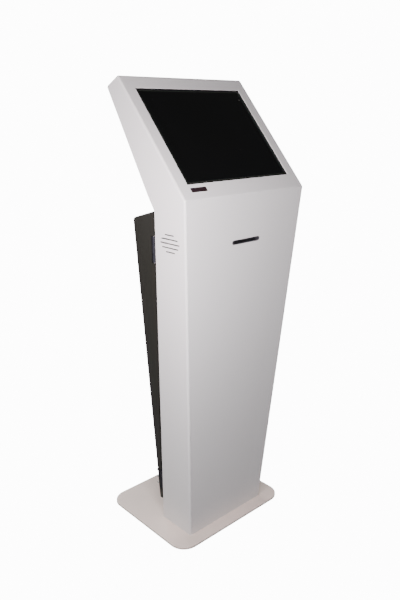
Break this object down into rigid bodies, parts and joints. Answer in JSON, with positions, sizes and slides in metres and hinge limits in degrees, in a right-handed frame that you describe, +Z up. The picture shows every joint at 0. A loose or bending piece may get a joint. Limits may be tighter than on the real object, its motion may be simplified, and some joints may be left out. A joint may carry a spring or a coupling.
{
  "type": "queue ticket kiosk",
  "caption": "Floor-standing touch-screen kiosk that prints queue tickets from a slot in a leaning steel column, with a rear service door.",
  "frame": {"origin": "on the base plate's underside, on the floor, 7.5 mm behind the plate's centre", "axes": "+X to the right seen from the front, -Y out of the ticket slot's side, +Z up"},
  "size_m": [0.4, 0.3556, 1.1802],
  "materials": {
    "shell_paint": "satin",
    "plate_paint": "satin",
    "dark_paint": "satin",
    "zinc_sheet": "satin",
    "steel": "satin",
    "lock_metal": "gloss",
    "black_plastic": "matte",
    "smoked_plastic": "gloss",
    "screen_glass": "gloss",
    "screen_panel": "gloss",
    "rubber_black": "matte",
    "gear_plastic": "satin",
    "paper": "matte",
    "circuit_green": "satin",
    "aluminium": "satin",
    "grey_plastic": "matte",
    "lead_sleeve": "matte"
  },
  "bodies": {
    "cabinet": {"base_plate": "plate_paint", "cable_grommet": "rubber_black", "cover_screws": "steel", "cutter_housing": "black_plastic", "door_buffers": "rubber_black", "equipment_panel": "zinc_sheet", "fan_housing": "black_plastic", "feed_motor": "aluminium", "foot_bolts": "steel", "foot_frame": "shell_paint", "front_skin": "shell_paint", "head_rear_cover": "dark_paint", "hinge_frame_leaves": "steel", "hinge_pins": "steel", "lcd_panel": "screen_panel", "mains_lead": "lead_sleeve", "monitor_board": "circuit_green", "monitor_board_cover": "zinc_sheet", "monitor_brackets": "zinc_sheet", "monitor_chassis": "zinc_sheet", "monitor_gasket": "rubber_black", "monitor_lead": "lead_sleeve", "monitor_nuts": "steel", "pc_board": "circuit_green", "pc_case": "aluminium", "pc_cover": "aluminium", "power_inlet": "black_plastic", "power_supply": "zinc_sheet", "printer_board": "circuit_green", "printer_frame": "zinc_sheet", "printer_lead": "lead_sleeve", "printer_shelf": "zinc_sheet", "rear_frame": "shell_paint", "rocker_housing": "black_plastic", "roll_spindle": "grey_plastic", "sensor_board": "circuit_green", "sensor_window": "smoked_plastic", "side_skin_left": "shell_paint", "side_skin_right": "shell_paint", "speaker_baskets": "grey_plastic", "speaker_cones": "grey_plastic", "terminal_block": "grey_plastic", "ticket_mouth": "black_plastic", "touch_glass": "screen_glass"},
    "door": {"rear_door": "dark_paint", "hinge_door_leaves": "steel", "lock_body": "lock_metal", "lock_nut": "steel"},
    "door_lock": {"lock_plug": "lock_metal"},
    "platen": {"platen_roller": "rubber_black", "platen_gear": "gear_plastic"},
    "pinion": {"motor_pinion": "steel"},
    "ticket_roll": {"paper_roll": "paper"},
    "cutter": {"cutter_blade": "steel"},
    "head": {"print_head": "aluminium", "head_lever": "black_plastic"},
    "feed_key": {"feed_button": "black_plastic"},
    "power_key": {"pc_power_button": "black_plastic"},
    "power_rocker": {"rocker": "black_plastic"},
    "fan": {"fan_rotor": "black_plastic"}
  },
  "joints": [
    {"name": "door_swing", "type": "hinge", "parent": "cabinet", "child": "door", "pos_m": [-0.13594, -0.0149, 0.06686], "axis": [-0.0695, -0.0809, 0.9943], "range_deg": [0, 110]},
    {"name": "lock_turn", "type": "hinge", "parent": "door", "child": "door_lock", "pos_m": [0.12275, -0.0081, 0.3], "axis": [0, -1, 0.0067], "range_deg": [0, 90]},
    {"name": "platen_spin", "type": "hinge", "parent": "cabinet", "child": "platen", "pos_m": [0, -0.13127, 0.80291], "axis": [1, 0, 0], "continuous": true},
    {"name": "pinion_spin", "type": "hinge", "parent": "cabinet", "child": "pinion", "pos_m": [0, -0.14149, 0.7777], "axis": [1, 0, 0], "continuous": true},
    {"name": "roll_spin", "type": "hinge", "parent": "cabinet", "child": "ticket_roll", "pos_m": [0, -0.06846, 0.80781], "axis": [1, 0, 0], "continuous": true},
    {"name": "cutter_stroke", "type": "slide", "parent": "cabinet", "child": "cutter", "axis": [0, 0.0715, -0.9974], "range_m": [0, 0.009]},
    {"name": "head_lift", "type": "hinge", "parent": "cabinet", "child": "head", "pos_m": [0, -0.11477, 0.82454], "axis": [-1, 0, 0], "range_deg": [0, 25]},
    {"name": "feed_press", "type": "slide", "parent": "cabinet", "child": "feed_key", "axis": [1, 0, 0], "range_m": [0, 0.0015], "stiffness_N_per_m": 300, "springref_m": -0.001},
    {"name": "power_press", "type": "slide", "parent": "cabinet", "child": "power_key", "axis": [0, 0.0715, -0.9974], "range_m": [0, 0.0015], "stiffness_N_per_m": 300, "springref_m": -0.001},
    {"name": "rocker_tilt", "type": "hinge", "parent": "cabinet", "child": "power_rocker", "pos_m": [0.024, -0.02238, 0.03765], "axis": [0, 0.0811, -0.9967], "range_deg": [0, 16]},
    {"name": "fan_spin", "type": "hinge", "parent": "cabinet", "child": "fan", "pos_m": [0, -0.05181, 0.97069], "axis": [0, 0.8581, -0.5135], "continuous": true}
  ],
  "couplings": [
    {"joint": "pinion_spin", "follows": "platen_spin", "ratio": -2.7778},
    {"joint": "roll_spin", "follows": "platen_spin", "ratio": 0.15}
  ]
}
